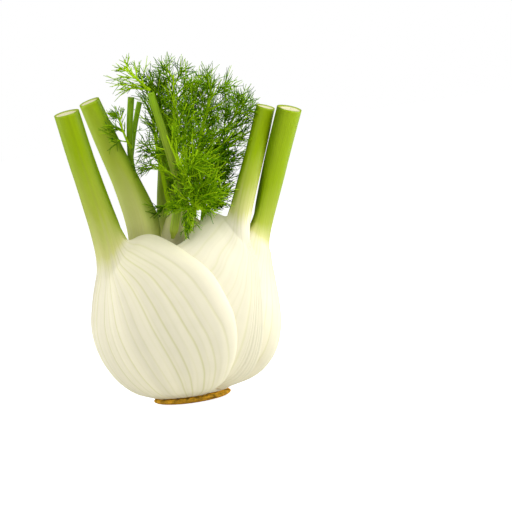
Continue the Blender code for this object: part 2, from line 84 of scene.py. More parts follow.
# Leaf bases and stalks: the band counted inwards, both margins and the midrib as (rise, azimuth in degrees),
# the stalk's middle line, its half width and half thickness, the azimuth that its back faces, the number of
# ribs and how strongly they are marked, the heights where the green begins and is full, and a seed. Some also
# have bare, the azimuths between which nothing covers the base, sweep, how far the ribs turn sideways at the
# foot, and painted_light, by how much the tone of the skin is raised: painted light on stalks that sit in
# shade.
LEAVES = {
    "leaf_left_outer": dict(
        band=0,
        start=[(0, -250), (0.12, -254), (0.25, -256), (0.38, -252), (0.50, -244), (0.60, -234), (0.68, -222),
               (0.75, -210), (0.79, -200)],
        midrib=[(0, -150), (0.12, -150), (0.25, -150), (0.38, -150), (0.50, -150), (0.61, -151),
                (0.71, -153)],
        end=[(0, -61), (0.17, -63), (0.29, -62), (0.40, -64), (0.47, -68), (0.58, -76), (0.68, -86),
             (0.77, -99), (0.83, -115), (0.85, -129), (0.835, -139), (0.775, -138)],
        stalk=[(-28.6, -11, 66), (-30.0, -12.3, 80), (-33.2, -11.5, 104), (-38.2, -12, 130),
               (-42.6, -13, 157)],
        half=[(12.5, 9.0), (11.5, 9.0), (8.0, 7.1), (7.3, 6.6), (7.1, 6.3)],
        out=-125,
        ribs=21,
        marked=1.0,
        sweep=0.12,
        green=(60, 160),
        seed=1,
    ),
    "leaf_right_front": dict(
        band=1,
        bare=(-60, 0),
        start=[(0, -190), (0.15, -196), (0.30, -194), (0.44, -182), (0.58, -160), (0.71, -128), (0.80, -95),
               (0.90, -80), (0.98, -60), (0.985, -48), (0.93, -46), (0.84, -52)],
        midrib=[(0, -60), (0.15, -58), (0.30, -54), (0.45, -50), (0.58, -47), (0.70, -44), (0.80, -41)],
        end=[(0, -38), (0.12, -38), (0.24, -40), (0.38, -41), (0.52, -41), (0.60, -40), (0.667, -40),
             (0.733, -37), (0.79, -28)],
        stalk=[(32.5, -12, 73), (35.5, -10.5, 87), (41.8, -6.5, 104), (50, -2, 124), (58.5, 2, 145.5)],
        half=[(7.0, 4.6), (6.5, 5.2), (5.8, 5.2), (5.3, 4.9), (5.1, 4.8)],
        out=-60,
        ribs=13,
        marked=0.5,
        green=(87, 136),
        seed=2,
    ),
    "leaf_right_back": dict(
        band=2,
        bare=(-38, 102),
        start=[(0, -110), (0.20, -110), (0.40, -102), (0.55, -84), (0.66, -60), (0.74, -40), (0.79, -25)],
        midrib=[(0, 5), (0.20, 3), (0.40, 2), (0.55, 0), (0.65, 0), (0.73, 0)],
        end=[(0, 120), (0.20, 126), (0.40, 126), (0.52, 112), (0.62, 88), (0.70, 62), (0.77, 38), (0.80, 24)],
        stalk=[(44.5, 3, 62), (46.6, 4, 77), (54.0, 3, 102), (61.8, 0, 123), (70.2, -4, 144)],
        half=[(9.0, 6.0), (7.8, 6.0), (6.8, 5.9), (7.2, 6.3), (7.4, 6.5)],
        out=-40,
        ribs=20,
        marked=0.55,
        green=(50, 126),
        seed=3,
    ),
    "leaf_left_inner": dict(
        band=3,
        start=[(0, -290), (0.20, -295), (0.40, -290), (0.56, -275), (0.68, -250), (0.77, -225), (0.82, -205)],
        midrib=[(0, -165), (0.20, -165), (0.40, -165), (0.56, -162), (0.70, -158), (0.80, -150)],
        end=[(0, -60), (0.20, -60), (0.40, -66), (0.56, -78), (0.68, -95), (0.77, -112), (0.83, -130)],
        stalk=[(-8.5, 3, 62), (-8.8, 3, 79), (-14.1, 4, 104), (-23.5, 5, 134), (-31.5, 6, 161)],
        half=[(11.0, 7.4), (11.3, 7.6), (8.5, 7.1), (6.9, 6.2), (6.0, 5.4)],
        out=-130,
        ribs=22,
        marked=0.8,
        green=(68, 194),
        # Painted light: a raised tone against the shade of the leaf in front and of the fronds.
        painted_light=3.0,
        seed=4,
    ),
    "leaf_back": dict(
        band=4,
        start=[(0, -30), (0.20, -30), (0.40, -20), (0.56, 10), (0.68, 44), (0.80, 76)],
        midrib=[(0, 85), (0.20, 86), (0.40, 88), (0.56, 92), (0.70, 98), (0.80, 104)],
        end=[(0, 210), (0.20, 210), (0.40, 200), (0.56, 178), (0.68, 150), (0.80, 122)],
        stalk=[(1, 12.5, 70), (-1, 14, 84), (0.8, 15, 104), (4.5, 15, 126), (8, 15, 150)],
        half=[(7.0, 4.5), (6.2, 5.0), (5.6, 5.0), (5.3, 4.8), (5.0, 4.6)],
        out=80,
        ribs=18,
        marked=0.8,
        green=(82, 180),
        # Painted light: a raised tone against the shade of the fronds in front.
        painted_light=4.0,
        seed=5,
    ),
}

HEART_BAND = 5
HEART_TIP = [
    (11, -1, 75, 17, 9.5), (10, -2, 81, 16.5, 9.5), (9, -3, 87, 13.5, 8.5),
    (7.2, -4, 93, 9.3, 6.6), (5.8, -4.5, 99, 4.8, 3.9), (5.4, -4.8, 103, 1.6, 1.4),
]
PLATE_RINGS = [(13.6, 10.8, 0.0), (17.8, 14.4, 0.8), (20.2, 16.5, 2.3), (19.4, 15.8, 3.5)]

# Young leaves that were cut short, one or two stems each: middle line, radius at the foot and at the cut, and
# the heights between which no thread crosses them in front and those where the green begins and is full.
YOUNG_STALKS = {
    "young_stalk_tall": [
        dict(line=[(13, -12.5, 95), (8.6, -11, 117), (4.9, -9.5, 139), (1.2, -8, 161.5)], radius=(2.6, 1.8),
             seen=(126, 163), green=(66, 240)),
    ],
    "young_stalk_short": [
        dict(line=[(1.8, -14, 86), (4.0, -14.2, 93), (7.0, -14.8, 103)], radius=(2.3, 2.2),
             seen=(84, 99), green=(66, 140)),
    ],
    "side_shoot": [
        dict(line=[(-9.8, 13.6, 93), (-11.6, 13, 108), (-14.6, 9, 125), (-13, 4, 143), (-9.6, 1, 160.5)],
             radius=(1.3, 1.7), seen=(126, 162), green=(78, 150)),
        dict(line=[(-14.3, 8.6, 126), (-12.4, 8, 137), (-9.2, 7, 148), (-5.8, 6, 157.5)],
             radius=(1.2, 1.4), seen=(130, 159), green=(78, 150)),
    ],
}

# Each frond: middle line, hanging leaflets as (place, azimuth, lift, length), bare share, pairs of leaflets,
# length of the lowest one, azimuth that its flat side faces, foot radius, seed, how light its green is
# (painted
# light and shade: raised on the fronds in front, lowered on some further back) and how densely more leaflets
# fill it. Some also have filled, where those leaflets begin, as a share of the bare part, last, where they
# end, twigs, the pairs of twigs on a leaflet, and full, the share of threads kept.
FRONDS = {
    "frond_far_left": dict(
        line=[(1.1, -8, 162.7), (-2, -8.2, 166), (-6, -8.8, 171), (-10.5, -9.5, 176.5)],
        hanging=[(0.02, 176, 0.32, 18)],
        bare=0.2, pairs=3, reach=12, faces=-80, radius=0.9, seed=11,
        light=0.22, dense=0.25, twigs=1, full=0.3,
    ),
    "frond_left": dict(
        line=[(2.2, 1.6, 98), (0.5, 1, 125), (0, -1, 147), (4, -3, 165)],
        hanging=[(0.02, -172, -0.3, 9), (0.05, -140, 0.0, 8), (0.32, -178, 0.15, 12), (0.42, -160, 0.3, 12)],
        bare=0.34, pairs=5, reach=22, faces=-100, radius=1.4, seed=12,
        light=-0.05, dense=0.7,
    ),
    "frond_middle": dict(
        line=[(7.2, 0.6, 100), (9, -5, 127), (11.5, -9, 150), (14, -9, 169)],
        hanging=[(0.2, -100, 0.2, 14), (0.33, -130, 0.4, 16), (0.42, -60, 0.3, 16)],
        bare=0.2, pairs=5, reach=26, faces=-90, radius=1.5, seed=13,
        light=0.0, dense=0.75, filled=0.3,
    ),
    "frond_right": dict(
        line=[(13.6, 2.2, 94.5), (19, 0, 121), (26, -3, 143), (34, -6, 160)],
        hanging=[(0.25, -60, 0.3, 14)],
        bare=0.22, pairs=5, reach=25, faces=-70, radius=1.5, seed=14,
        light=0.0, dense=1.0, filled=0.2,
    ),
    "frond_far_right": dict(
        line=[(17.5, 4.4, 90), (24, 6, 115), (34, 6, 134), (48, 4, 149)],
        hanging=[],
        bare=0.28, pairs=4, reach=23, faces=-60, radius=1.4, seed=15,
        light=0.0, dense=1.5, filled=0.2, last=0.99,
    ),
    "frond_front": dict(
        line=[(19.5, -10.6, 98.2), (13, -15.5, 108), (10.5, -18.8, 123), (6.5, -19.4, 139)],
        hanging=[(0.12, -30, 0.5, 15), (0.2, -60, 0.9, 17), (0.55, -30, 0.5, 16)],
        bare=0.16, pairs=4, reach=21, faces=-90, radius=1.3, seed=16,
        light=0.22, dense=1.2,
    ),
    "frond_low": dict(
        line=[(17, -14.8, 99), (15.5, -18, 102.5), (12.5, -20.5, 100), (8.5, -22.5, 92)],
        hanging=[(0.25, -60, 0.6, 12), (0.6, -165, 0.3, 12)],
        bare=0.15, pairs=2, reach=12, faces=-90, radius=0.9, seed=17,
        light=0.1, dense=1.8,
    ),
    "frond_low_right": dict(
        line=[(19, 2.6, 92), (24, 2, 104), (29, 1, 115.5), (33, 0, 127)],
        hanging=[(0.1, -30, 0.3, 9)],
        bare=0.12, pairs=3, reach=15, faces=-80, radius=1.0, seed=18,
        light=-0.15, dense=3.6, filled=0.2,
    ),
    "frond_rear": dict(
        line=[(9.5, 4.8, 93.5), (13, 12, 119), (19, 16, 143), (25, 17, 164)],
        hanging=[],
        bare=0.25, pairs=3, reach=23, faces=-90, radius=1.3, seed=19,
        light=-0.1, dense=1.1,
    ),
    "frond_side_shoot": dict(
        line=[(-13.4, 3.2, 134.5), (-14.8, -2, 139), (-16.3, -5.5, 146), (-17, -7, 154)],
        hanging=[],
        bare=0.12, pairs=3, reach=12, faces=-95, radius=0.8, seed=20,
        light=0.05, dense=0.6, full=0.6,
    ),
}
BARE_PATCHES = [((-6.0, 1.5), (104, 122))]  # (left, right), (low, high): no thread crosses them in front
NEEDLE_PAIRS = 2
FROND_TILT = 0.15  # how far the flat side of a frond looks up
HANGING_BEND = np.array([0.0, 0.0, -0.35])
FULL_LEAST = 8.0  # the length that twigs on a long leaflet have at least
TONE_SPREAD = 0.24

# What the random draws of the pieces without a seed of their own start from.
HEART_SEED = 51
PLATE_SEED = 61
YOUNG_SEED = 71

# Camera: the point it looks at, how far off, its height above the horizon and its roll in degrees, and the
# width that it shows.
AIM = (42.9, 0.0, 70.1)
DISTANCE = 1200.0
ELEVATION = 4.5
ROLL = 8.0
SHOWN_WIDTH = 266.0
SENSOR = 36.0


def linear(red, green, blue):
    """A colour of the screen, 0 to 255, as the light that it stands for."""
    share = np.array([red, green, blue]) / 255
    return tuple(float(c) for c in np.where(share > 0.04045, ((share + 0.055) / 1.055) ** 2.4, share / 12.92))


def length_property(name, description, default, low, high):
    """A length that the user can change, given in millimetres."""
    return FloatProperty(name=name, description=description, default=default * MM,
                         min=low * MM, max=high * MM, precision=5, subtype="DISTANCE", unit="LENGTH")


def colour_property(name, description, red, green, blue):
    """A colour that the user can change, given as 0 to 255 on the screen."""
    return FloatVectorProperty(name=name, description=description, default=linear(red, green, blue),
                               min=0, max=1, size=3, subtype="COLOR")


class FennelSizes(bpy.types.PropertyGroup):
    """Sizes of the fine forms."""

    leaf_thickness: length_property("Leaf base thickness", "Thickness of one leaf base", 3.7, 1.0, 3.85)
    rib_swelling: FloatProperty(
        name="Rib swelling", description="How far the skin swells between two ribs, by their spacing",
        default=0.038, min=0.0, max=0.2, subtype="FACTOR")
    rib_groove: FloatProperty(
        name="Rib groove", description="Depth of the groove along a rib, as a share of the ribs' spacing",
        default=0.007, min=0.0, max=0.1, subtype="FACTOR")
    cut_sink: length_property(
        "Cut end sink", "How far the pith of a cut stalk sinks below its rim", 0.7, 0.0, 3.0)
    thread_radius: length_property(
        "Thread radius", "Radius of the finest threads of a frond at their foot", 0.21, 0.05, 1.0)
    threads: IntProperty(
        name="Threads", description="Pairs of threads on each twig of a frond", default=2, min=1, max=8)


class FennelColours(bpy.types.PropertyGroup):
    """Colours of the skin, the stalks and the fronds."""

    white: colour_property("White skin", "Skin of the bulb", 248, 242, 214)
    rib: colour_property("Rib", "Yellow-green lines along the ribs", 206, 206, 108)
    pale: colour_property("Pale green", "Stalk just above the bulb", 218, 218, 140)
    lime: colour_property("Lime green", "Lower stalk", 176, 190, 66)
    green: colour_property("Green", "Upper stalk", 154, 182, 2)
    # Deep green of a stalk's inner side: partly its own colour, partly painted shade.
    deep_green_and_shade: colour_property("Deep green", "Inner side of a stalk", 112, 142, 0)
    young: colour_property("Young green", "Young stalks", 150, 194, 28)
    pith: colour_property("Pith", "Middle of a cut end", 236, 231, 190)
    frond_dark: colour_property("Frond, dark", "Darkest threads", 44, 94, 0)
    frond_mid: colour_property("Frond, middle", "Most threads", 122, 172, 2)
    frond_light: colour_property("Frond, light", "Stems and the lightest threads", 184, 224, 20)
    cork: colour_property("Cork", "Root plate", 218, 164, 44)


def spline(rows, at):
    """A Catmull-Rom curve through equally spaced rows, read at 0 to 1."""
    rows = np.asarray(rows, float)
    place = np.clip(at, 0.0, 1.0) * (len(rows) - 1)
    first = np.clip(place.astype(int), 0, len(rows) - 2)
    part = (place - first)[..., None]
    ends = np.concatenate([[2 * rows[0] - rows[1]], rows, [2 * rows[-1] - rows[-2]]])
    a, b, c, d = (ends[first + i] for i in range(4))
    return b + 0.5 * part * (c - a + part * (2 * a - 5 * b + 4 * c - d + part * (3 * (b - c) + d - a)))


def share_of(low, high, at):
    """How far a value has come from low to high: 0 below low, 1 above high."""
    return np.clip((at - low) / (high - low), 0.0, 1.0)


def smooth_step(low, high, at):
    """0 below low, 1 above high, and 3t^2 - 2t^3 between."""
    part = share_of(low, high, at)
    return part * part * (3 - 2 * part)


def unit(vectors):
    """Vectors divided by their own lengths."""
    return vectors / np.maximum(np.linalg.norm(vectors, axis=-1, keepdims=True), 1e-12)


def direction(azimuth, lift=0.0):
    """A level direction at this azimuth in degrees, lifted a little."""
    return np.array([math.cos(math.radians(azimuth)), math.sin(math.radians(azimuth)), lift])


def round_angles(sides):
    """Equal steps once round, in radians."""
    return np.linspace(0, 2 * math.pi, sides, endpoint=False)


def square_to(ahead):
    """Two directions square to each given direction and to each other."""
    across = unit(np.cross(ahead, OFF_AXIS))
    return across, np.cross(ahead, across)


def ripple(random, at, knots):
    """A smooth random curve between -1 and 1 through this many knots, read at 0 to 1."""
    return spline(random.uniform(-1, 1, (knots, 1)), at)[..., 0]


def outline_point(azimuth, rise):
    """A point on the bulb's outline: at each rise, an ellipse with its own height, middle and half widths."""
    height, left, right, half_depth = np.moveaxis(spline(BULB_STATIONS, rise), -1, 0)
    x = (right - left) / 2 + (right + left) / 2 * np.cos(azimuth)
    return np.stack([x, half_depth * np.sin(azimuth), height], axis=-1)


def bulb_point(azimuth, rise, depth):
    """A point this deep under the outline, measured square to it."""
    azimuth, rise, depth = np.broadcast_arrays(azimuth, rise, depth)
    rise = np.clip(rise, 0.0, TOP_RISE)
    step = 1e-3
    around = outline_point(azimuth + step, rise) - outline_point(azimuth - step, rise)
    up = outline_point(azimuth, rise + step) - outline_point(azimuth, rise - step)
    return outline_point(azimuth, rise) - depth[..., None] * unit(np.cross(around, up))


def base_lift(leaf, rise, azimuth):
    """How far a leaf base that nothing covers swells out, as a share of its band's depth."""
    first, last = np.radians(leaf.get("bare", (0, 0)))
    ramp = math.radians(24)
    bare = smooth_step(first, first + ramp, azimuth) * (1 - smooth_step(last - ramp, last, azimuth))
    return bare * (0.9 - 0.9 * smooth_step(0.06, 0.5, rise) + 0.6 * smooth_step(0.55, 0.74, rise))


def sheath_face(leaf, along, across, inner, thickness):
    """One face of a leaf base. Rise and azimuth go from the midrib to a margin, the rise with the square of
    the distance; the point lies under the bulb's outline by the band's depth. The outer face rounds down
    to the margin as a quarter circle."""
    to_neck = np.clip(along[:, 0] / NECK, 0, 1)
    start, midrib, end = (spline(leaf[line], to_neck)[:, None] for line in ("start", "midrib", "end"))
    side = np.abs(across)[..., None]
    margin = np.where(across[..., None] < 0, start, end)
    place = midrib + (margin - midrib) * np.concatenate([side**2, side], axis=-1)
    rise, azimuth = place[..., 0], np.radians(place[..., 1])
    band = leaf["band"] * BAND_STEP * (1 - base_lift(leaf, rise, azimuth))
    edge = share_of(MARGIN_ROUNDS, 1, np.abs(across))
    drop = (thickness - MARGIN_THICKNESS) * (1 - np.sqrt(1 - edge**2))
    return bulb_point(azimuth, rise, band + (thickness if inner else drop))


def stalk_turn(across, inner):
    """The angle round a stalk: 0 in the middle of its back, a quarter turn at each margin."""
    turn = across * (0.5 * math.pi)
    return math.pi - turn if inner else turn


def stalk_face(leaf, along, across, inner):
    """One face of a stalk: half an ellipse round its middle line, flatter on the inner side."""
    far = share_of(STALK_STARTS, 1, along[:, 0])
    middle, half = spline(leaf["stalk"], far), spline(leaf["half"], far)
    low = np.clip(far - 0.02, 0, 0.96)
    ahead = unit(spline(leaf["stalk"], low + 0.04) - spline(leaf["stalk"], low))
    facing = direction(leaf["out"])
    back = unit(facing - ahead * (ahead @ facing)[:, None])
    beside = np.cross(ahead, back)
    turn = stalk_turn(across, inner)
    reach = np.where(np.cos(turn) > 0, 1.0, INNER_FLATNESS) * np.cos(turn)
    sideways = beside[:, None] * (half[:, :1] * np.sin(turn))[..., None]
    return middle[:, None] + sideways + back[:, None] * (half[:, 1:] * reach)[..., None]


def neck_mix(along, across):
    """How far a leaf is a stalk rather than a base: later towards the margins."""
    return smooth_step(STALK_STARTS + 0.13 * np.abs(across), NECK + 0.07, along)


def leaf_face(leaf, along, across, inner, thickness):
    """One face of a leaf: the base blends into the stalk over the neck."""
    mix = neck_mix(along, across)[..., None]
    base = sheath_face(leaf, along, across, inner, thickness)
    return base * (1 - mix) + stalk_face(leaf, along, across, inner) * mix


def soften_neck(face, along, across):
    """Each point becomes a mean of its column, weighted by a bell curve round its own row. The bell is wide
    at the neck, so that the base runs smoothly into the stalk, and the margins keep their own line."""
    before = smooth_step(NECK - 0.22, NECK - 0.06, along)
    after = smooth_step(NECK + 0.1, NECK + 0.26, along)
    width = 1e-4 + NECK_BELL * before * (1 - after)
    weight = np.exp(-0.5 * ((along - along.T) / width) ** 2)
    smooth = np.einsum("ij,jkc->ikc", weight / weight.sum(axis=1, keepdims=True), face)
    share = (1 - 0.75 * smooth_step(0.8, 1.0, np.abs(across)))[..., None]
    return face + (smooth - face) * share


def rib_relief(leaf, face, along, across, sizes):
    """Between two rib lines the skin swells as half a sine wave, and on each line it has a narrow groove.
    Both are shares of the distance between the lines, so they fade where the ribs run together. A fainter
    line without a swelling runs between each two. Lower down the lines sweep sideways, with the square of the
    distance from the neck."""
    random = np.random.default_rng(leaf["seed"])
    count = leaf["ribs"]
    lines = (np.arange(count) + 0.5) / count * 2 - 1 + random.uniform(-0.3, 0.3, count) * 2 / count
    below_neck = 1 - np.clip(along / NECK, 0, 1)
    place = np.clip(across - leaf.get("sweep", 0.0) * below_neck**2, -1, 1)
    after = np.searchsorted(lines, place)
    left = np.concatenate([[-1.0], lines])[after]
    right = np.concatenate([lines, [1.0]])[after]
    width = np.linalg.norm(np.diff(face, axis=1), axis=2).sum(axis=1)[:, None] / 2
    gap = (right - left) * width
    faint = (lines[:-1] + lines[1:]) / 2 + random.uniform(-0.25, 0.25, count - 1) / count
    line = np.zeros(gap.shape)
    for each, weakest, strongest in ((lines, 0.35, 1.0), (faint, 0.0, 0.25)):
        strength = random.uniform(weakest, strongest, len(each))
        nearest = np.abs(place[..., None] - each).argmin(axis=-1)
        distance = np.abs(place - each[nearest]) * width
        line = np.maximum(line, np.exp(-((distance / (0.03 * gap + 0.22)) ** 2)) * strength[nearest])
    swelling = np.sin(math.pi * (place - left) / (right - left))
    edge = (1 - smooth_step(0.90, 0.99, np.abs(across))) * leaf["marked"]
    height = gap * (sizes.rib_swelling * swelling - sizes.rib_groove * line)
    return height * edge, line * edge


def face_normals(face):
    """Outward normals of a grid whose columns run across and whose rows run along."""
    return unit(np.cross(np.gradient(face, axis=1), np.gradient(face, axis=0)))


def ring_quads(count, size):
    """Quads between closed rings of points, ring by ring."""
    ring = np.arange(count - 1)[:, None] * size
    here, there = np.arange(size)[None], (np.arange(size)[None] + 1) % size
    quads = np.stack([ring + here, ring + there, ring + size + there, ring + size + here], axis=-1)
    return quads.reshape(-1, 4)


def fan(first, size, pole, top):
    """Triangles between a ring and the point that closes it."""
    here = first + np.arange(size)
    there = first + (np.arange(size) + 1) % size
    pair = (here, there) if top else (there, here)
    return np.stack([*pair, np.full(size, pole)], axis=1)


def closed_rings(count, size, foot, top):
    """Faces of a pile of rings that is closed at both ends by one point each."""
    return [ring_quads(count, size), fan(0, size, foot, False), fan((count - 1) * size, size, top, True)]


def two_faced_strip(outer_count, size):
    """Triangles that close a leaf at the root plate, between its outer and its inner face."""
    outer = np.arange(outer_count)
    inner_steps = size - outer_count + 1
    inner = (size - np.round(outer / (outer_count - 1) * inner_steps).astype(int)) % size
    first = np.stack([outer[1:], outer[:-1], inner[:-1]], axis=1)
    second = np.stack([outer[1:], inner[:-1], inner[1:]], axis=1)
    both = np.concatenate([first, second])
    whole = (both[:, 0] != both[:, 1]) & (both[:, 1] != both[:, 2]) & (both[:, 0] != both[:, 2])
    return both[whole]


def mesh_piece(name, points, faces, attributes, material):
    """A smooth mesh object at the origin, from points in millimetres, lists of faces and values by point.
    All faces are turned round where the volume they enclose comes out negative."""
    triangles = [part[:, [0, i, i + 1]] for part in faces for i in range(1, part.shape[1] - 1)]
    a, b, c = (points[column] for column in np.concatenate(triangles).T)
    if np.einsum("ij,ij->", a, np.cross(b, c)) < 0:
        faces = [part[:, ::-1] for part in faces]
    sizes = np.concatenate([np.full(len(part), part.shape[1], np.int32) for part in faces])
    mesh = bpy.data.meshes.new(name)
    mesh.vertices.add(len(points))
    mesh.vertices.foreach_set("co", (points * MM).astype(np.float32).reshape(-1))
    mesh.loops.add(int(sizes.sum()))
    corners = np.concatenate([part.reshape(-1) for part in faces]).astype(np.int32)
    mesh.loops.foreach_set("vertex_index", corners)
    mesh.polygons.add(len(sizes))
    mesh.polygons.foreach_set("loop_start", (np.cumsum(sizes) - sizes).astype(np.int32))
    mesh.update(calc_edges=True)
    mesh.polygons.foreach_set("use_smooth", np.ones(len(sizes), bool))
    for key, values in attributes.items():
        layer = mesh.attributes.new(key, "FLOAT", "POINT")
        layer.data.foreach_set("value", np.asarray(values, np.float32).reshape(-1))
    mesh.materials.append(material)
    obj = bpy.data.objects.new(name, mesh)
    bpy.context.scene.collection.objects.link(obj)
    return obj


def belongs(piece, slot, *nodes):
    """The piece rides on the bulb and stands for these nodes, which are hidden. The slot is not used."""
    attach(piece, "root")
    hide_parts(*nodes)


def cut_rings(ring, ahead, sink, count):
    """Rings that close a cut stalk: the last ring drawn in to its middle, sunk as a shallow bowl."""
    middle = ring.mean(axis=0)
    part = np.linspace(0, 1, count + 1)[1:-1, None, None]
    bowl = np.sin(np.clip(part * 1.6, 0, 1) * math.pi / 2)
    rings = middle + (ring[None] - middle) * (1 - part) - ahead * sink * bowl
    return rings, middle - ahead * sink


def leaf_piece(name, leaf, sizes, material):
    """A leaf as one closed surface: outer face with its ribs, inner face, and a cut end."""
    rows, outer_columns, inner_columns, caps = 190, 420, 50, 9
    thickness = sizes.leaf_thickness / MM
    along = np.linspace(0, 1, rows)[:, None]
    across = np.linspace(-1, 1, outer_columns)[None]
    back_across = np.linspace(1, -1, inner_columns)[None, 1:-1]
    outer = soften_neck(leaf_face(leaf, along, across, False, thickness), along, across)
    inner = leaf_face(leaf, along, back_across, True, thickness)
    height, line = rib_relief(leaf, outer, along, across, sizes)
    outer = outer + face_normals(outer) * height[..., None]
    rings = np.concatenate([outer, inner], axis=1)
    ahead = unit(np.subtract(leaf["stalk"][-1], leaf["stalk"][-2]))
    behind = rings[..., 1] - rings[..., 1].mean(axis=1, keepdims=True)
    rings[..., 2] += (CUT_SLOPE + ahead[1] / ahead[2]) * smooth_step(0.92, 1.0, along) * behind
    size = rings.shape[1]
    ends, pole = cut_rings(rings[-1], ahead, sizes.cut_sink / MM, caps)
    points = np.concatenate([rings.reshape(-1, 3), ends.reshape(-1, 3), pole[None]])

    both_across = np.concatenate([across, back_across], axis=1)
    turn = np.concatenate([stalk_turn(across, False), stalk_turn(back_across, True)], axis=1)
    mix = neck_mix(along, both_across)
    # Deep green on a stalk's inner side, where the green also starts lower: partly the stalk's own colour,
    # partly painted shade on the side that faces the other stalks.
    deep_green_and_shade = smooth_step(0.16, 0.56, (1 - np.cos(turn)) / 2) * mix
    random = np.random.default_rng(leaf["seed"] + 40)
    at = (both_across + 1) / 2
    streak = 0.3 * ripple(random, at, 110) + 0.7 * ripple(random, at, 20)
    low, high = leaf["green"]
    streak_shift, deep_shift = 5, 16
    lifted = rings[..., 2] + streak_shift * streak + deep_shift * deep_green_and_shade
    above_neck = smooth_step(STALK_STARTS + 0.12 * np.abs(both_across) ** 2, NECK + 0.035, along)
    green = share_of(low, high, lifted) * (0.1 + 0.9 * above_neck)
    # Painted light: the tone of the stalks that sit in shade is raised, and carried with the streaks.
    streak = streak + leaf.get("painted_light", 0.0)
    line = np.concatenate([line, np.zeros((rows, inner.shape[1]))], axis=1)

    def with_ends(values, at_ends):
        """Values of the leaf, then those of its cut end and of the point in its middle."""
        on_leaf = np.broadcast_to(values, rings.shape[:2]).reshape(-1)
        on_cut = np.broadcast_to(at_ends, (caps - 1, size)).reshape(-1)
        return np.concatenate([on_leaf, on_cut, [np.max(at_ends)]])

    attributes = {
        "green": with_ends(green, 1.0),
        "deep_green_and_shade": with_ends(deep_green_and_shade, 0.0),
        "streak": with_ends(streak, 0.0),
        "rib": with_ends(line, 0.0),
        "cut": with_ends(0.0, np.linspace(0, 1, caps + 1)[1:-1, None]),
    }
    count = rows + caps - 1
    faces = [
        ring_quads(count, size),
        two_faced_strip(outer_columns, size),
        fan((count - 1) * size, size, len(points) - 1, True),
    ]
    return mesh_piece(name + "_fine", points, faces, attributes, material)


def heart_piece(material):
    """The heart: closed rings at each height, from under the leaf bases to the pale tip of its youngest leaf.
    Each ring is an ellipse, and between the given heights its middle and half widths follow a curve."""
    sides, tip_rings = 96, 60
    azimuth = round_angles(sides)
    depth = HEART_BAND * BAND_STEP
    core = [bulb_point(azimuth, np.array(0.0), np.array(d)) for d in np.linspace(0, depth, 5)]
    for ring in core:
        ring[:, :2] *= 0.965
        ring[:, 2] += 0.35
    body = [bulb_point(azimuth, np.array(rise), np.array(depth)) for rise in np.linspace(0.06, 0.62, 24)]
    x, y, z, a, b = np.moveaxis(spline(HEART_TIP, np.linspace(0, 1, tip_rings)), -1, 0)[..., None]
    tip = np.stack([x + a * np.cos(azimuth), y + b * np.sin(azimuth),
                    np.broadcast_to(z, (tip_rings, sides))], axis=-1)
    rings = np.concatenate([np.array(core), np.array(body), tip])
    count = len(rings)
    foot, top = rings[0].mean(axis=0), rings[-1].mean(axis=0) + (0, 0, 0.5)
    points = np.concatenate([rings.reshape(-1, 3), foot[None], top[None]])
    random = np.random.default_rng(HEART_SEED)
    streak = np.tile(ripple(random, np.append(azimuth[:-1], 0) / (2 * math.pi), 50), count)
    attributes = {
        "green": share_of(78, 144, points[:, 2]),
        "streak": np.append(streak, [0, 0]),
    }
    faces = closed_rings(count, sides, len(points) - 2, len(points) - 1)
    return mesh_piece("heart_fine", points, faces, attributes, material)


def plate_piece(material):
    """The root plate: ellipses along a profile from the flat spot out to the rim and back in, each point
    moved in and out by a sum of waves round the rim, so that the edge is worn and uneven."""
    sides, count = 220, 26
    azimuth = round_angles(sides)[None]
    a, b, z = np.moveaxis(spline(PLATE_RINGS, np.linspace(0, 1, count)), -1, 0)[..., None]
    random = np.random.default_rng(PLATE_SEED)
    waves = np.zeros((count, sides))
    for turns in (3, 5, 9, 14, 23, 37, 55):
        phase = random.uniform(0, 6.28)
        phase = phase + np.cumsum(random.uniform(-0.4, 0.4, (count, 1)), axis=0) * (turns > 8)
        waves += np.sin(azimuth * turns + phase) * 0.9 / turns**0.6
    flat = smooth_step(0.2, 1.2, z)
    wear = 1 + 0.016 * waves * flat
    rings = np.stack([a * wear * np.cos(azimuth), b * wear * np.sin(azimuth),
                      np.broadcast_to(z, waves.shape)], axis=-1)
    rings[..., 2] += 0.12 * np.roll(waves, 17, axis=1) * flat * (z < 3.2)
    rings[0, :, 2] = 0.0
    points = np.concatenate([rings.reshape(-1, 3), [[0, 0, 0], [0, 0, PLATE_RINGS[-1][2]]]])
    faces = closed_rings(count, sides, len(points) - 2, len(points) - 1)
    return mesh_piece("root_plate_fine", points, faces, {}, material)


